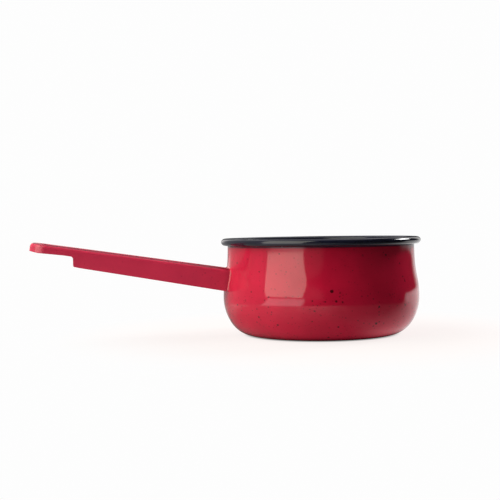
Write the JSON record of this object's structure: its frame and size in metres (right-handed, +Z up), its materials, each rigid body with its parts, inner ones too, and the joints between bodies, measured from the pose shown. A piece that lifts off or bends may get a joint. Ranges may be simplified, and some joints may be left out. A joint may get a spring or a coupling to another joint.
{
  "type": "candle melting pot",
  "caption": "Small enamelled steel pan with a bellied bowl, a rolled rim and a long pressed channel handle with a step and a hanging hole.",
  "frame": {"origin": "centre of the flat base, on the surface that the pot stands on", "axes": "+Z up through the middle of the bowl; the handle runs out along -X and rises away from the bowl; +X points away from the handle"},
  "size_m": [0.2715, 0.14, 0.0677],
  "materials": {
    "red_enamel": "glossy speckled vitreous enamel on steel",
    "lining_enamel": "glossy dark vitreous enamel with fine pale flecks",
    "rim_enamel": "glossy dark vitreous enamel on steel",
    "handle_enamel": "glossy speckled vitreous enamel on steel",
    "weld_enamel": "glossy vitreous enamel over weld metal"
  },
  "bodies": {
    "root": {"bowl_shell": "red_enamel", "inner_enamel": "lining_enamel", "rolled_rim": "rim_enamel", "handle": "handle_enamel", "handle_weld": "weld_enamel"}
  },
  "joints": []
}
